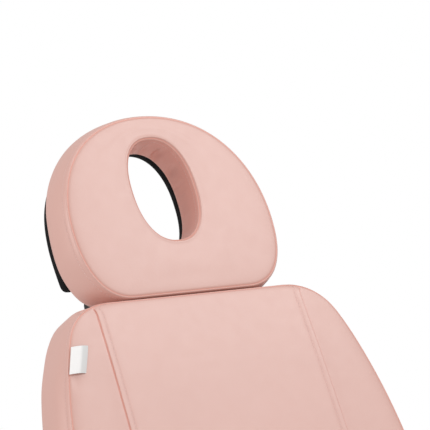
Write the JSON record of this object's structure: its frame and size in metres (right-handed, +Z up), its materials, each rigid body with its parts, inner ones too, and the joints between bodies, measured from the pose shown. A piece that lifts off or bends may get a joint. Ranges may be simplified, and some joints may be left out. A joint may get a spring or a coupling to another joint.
{
  "type": "facial treatment bed",
  "caption": "Upholstered treatment bed with a reclining back, a headrest with a face hole, a tilting leg section and folding arms on a motorised lifting column.",
  "frame": {"origin": "on the floor, under the centre of the whole bed's bounding box as stored", "axes": "+X across the bed, +Y towards the head end, +Z up"},
  "size_m": [0.792, 1.4973, 1.394],
  "materials": {
    "upholstery": "satin",
    "black_backing": "matte",
    "white_coat": "satin",
    "black_coat": "satin",
    "bright_steel": "polished",
    "aluminium_tube": "satin",
    "grey_plastic": "matte",
    "black_plastic": "satin",
    "rubber": "matte"
  },
  "bodies": {
    "base": {"base_rail_left": "white_coat", "base_rail_right": "white_coat", "rail_end_cap_left": "black_plastic", "rail_end_cap_right": "black_plastic", "foot_front_left": "rubber", "foot_front_right": "rubber", "foot_rear_left": "rubber", "foot_rear_right": "rubber", "base_cross_front": "white_coat", "base_cross_rear": "white_coat", "column_base_plate": "white_coat", "column_outer": "white_coat", "lift_motor": "grey_plastic", "lift_screw_outer": "aluminium_tube", "power_box": "black_plastic", "mains_inlet": "black_plastic"},
    "wheel_left": {"transport_wheel_left": "rubber"},
    "wheel_right": {"transport_wheel_right": "rubber"},
    "power_switch": {"mains_switch": "black_plastic"},
    "middle_stage": {"column_middle": "white_coat", "lift_screw_middle": "aluminium_tube"},
    "seat": {"column_inner": "white_coat", "lift_rod": "bright_steel", "column_top_plate": "black_coat", "seat_rail_left": "black_coat", "seat_rail_right": "black_coat", "seat_cross_front": "black_coat", "seat_cross_rear": "black_coat", "seat_board": "black_backing", "seat_cushion": "upholstery", "side_plate_left": "black_coat", "side_plate_right": "black_coat", "leg_pivot_rod": "bright_steel", "control_box": "black_plastic", "back_motor": "grey_plastic", "back_actuator_tube": "aluminium_tube", "leg_motor": "grey_plastic", "leg_actuator_tube": "aluminium_tube"},
    "backrest": {"back_cushion": "upholstery", "back_board": "black_backing", "back_rail_left": "black_coat", "back_rail_right": "black_coat", "headrest_guide_left": "black_coat", "headrest_guide_right": "black_coat", "back_hinge_yoke": "black_coat", "back_lever": "black_coat"},
    "back_rod": {"back_actuator_rod": "bright_steel"},
    "headrest_slide": {"headrest_slide_frame": "black_coat"},
    "headrest": {"headrest_cushion": "upholstery", "headrest_board": "black_backing", "headrest_bracket": "black_coat"},
    "clamp_knob": {"headrest_knob": "black_plastic"},
    "leg_section": {"leg_cushion": "upholstery", "leg_board": "black_backing", "leg_frame": "black_coat"},
    "leg_rod": {"leg_actuator_rod": "bright_steel"},
    "armrest_left": {"armrest_bar_left": "black_coat", "armrest_pad_left": "upholstery"},
    "armrest_right": {"armrest_bar_right": "black_coat", "armrest_pad_right": "upholstery"}
  },
  "joints": [
    {"name": "column_lift", "type": "slide", "parent": "base", "child": "seat", "axis": [0, 0, 1], "range_m": [0, 0.28]},
    {"name": "middle_stage_slide", "type": "slide", "parent": "base", "child": "middle_stage", "axis": [0, 0, 1], "range_m": [0, 0.14]},
    {"name": "backrest_recline", "type": "hinge", "parent": "seat", "child": "backrest", "pos_m": [0, 0.2234, 0.57], "axis": [1, 0, 0], "range_deg": [-58.5, 16.5]},
    {"name": "back_actuator_stroke", "type": "slide", "parent": "seat", "child": "back_rod", "axis": [0, 1, 0], "range_m": [-0.167, 0.0475]},
    {"name": "headrest_extend", "type": "slide", "parent": "backrest", "child": "headrest_slide", "axis": [0, 0.5225, 0.8526], "range_m": [0, 0.08]},
    {"name": "headrest_tilt", "type": "hinge", "parent": "headrest_slide", "child": "headrest", "pos_m": [0, 0.61085, 1.12188], "axis": [1, 0, 0], "range_deg": [-45, 0]},
    {"name": "clamp_knob_turn", "type": "hinge", "parent": "backrest", "child": "clamp_knob", "pos_m": [0.08, 0.60302, 1.03637], "axis": [0, 0.8526, -0.5225], "continuous": true},
    {"name": "leg_section_tilt", "type": "hinge", "parent": "seat", "child": "leg_section", "pos_m": [0, -0.2876, 0.48], "axis": [1, 0, 0], "range_deg": [-35, 40]},
    {"name": "leg_actuator_stroke", "type": "slide", "parent": "seat", "child": "leg_rod", "axis": [0, 1, 0], "range_m": [-0.0745, 0.085]},
    {"name": "armrest_left_fold", "type": "hinge", "parent": "seat", "child": "armrest_left", "pos_m": [-0.2985, 0.1684, 0.735], "axis": [1, 0, 0], "range_deg": [-100, 0]},
    {"name": "armrest_right_fold", "type": "hinge", "parent": "seat", "child": "armrest_right", "pos_m": [0.2985, 0.1684, 0.735], "axis": [1, 0, 0], "range_deg": [-100, 0]},
    {"name": "wheel_left_spin", "type": "hinge", "parent": "base", "child": "wheel_left", "pos_m": [-0.22, 0.4784, 0.045], "axis": [1, 0, 0], "continuous": true},
    {"name": "wheel_right_spin", "type": "hinge", "parent": "base", "child": "wheel_right", "pos_m": [0.22, 0.4784, 0.045], "axis": [1, 0, 0], "continuous": true},
    {"name": "mains_switch_rock", "type": "hinge", "parent": "base", "child": "power_switch", "pos_m": [0.014, 0.1884, 0.12], "axis": [1, 0, 0], "range_deg": [-13, 0]}
  ],
  "couplings": [
    {"joint": "middle_stage_slide", "follows": "column_lift", "ratio": 0.5},
    {"joint": "back_actuator_stroke", "follows": "backrest_recline", "m_per_rad": 0.1628},
    {"joint": "leg_actuator_stroke", "follows": "leg_section_tilt", "m_per_rad": 0.1209}
  ]
}
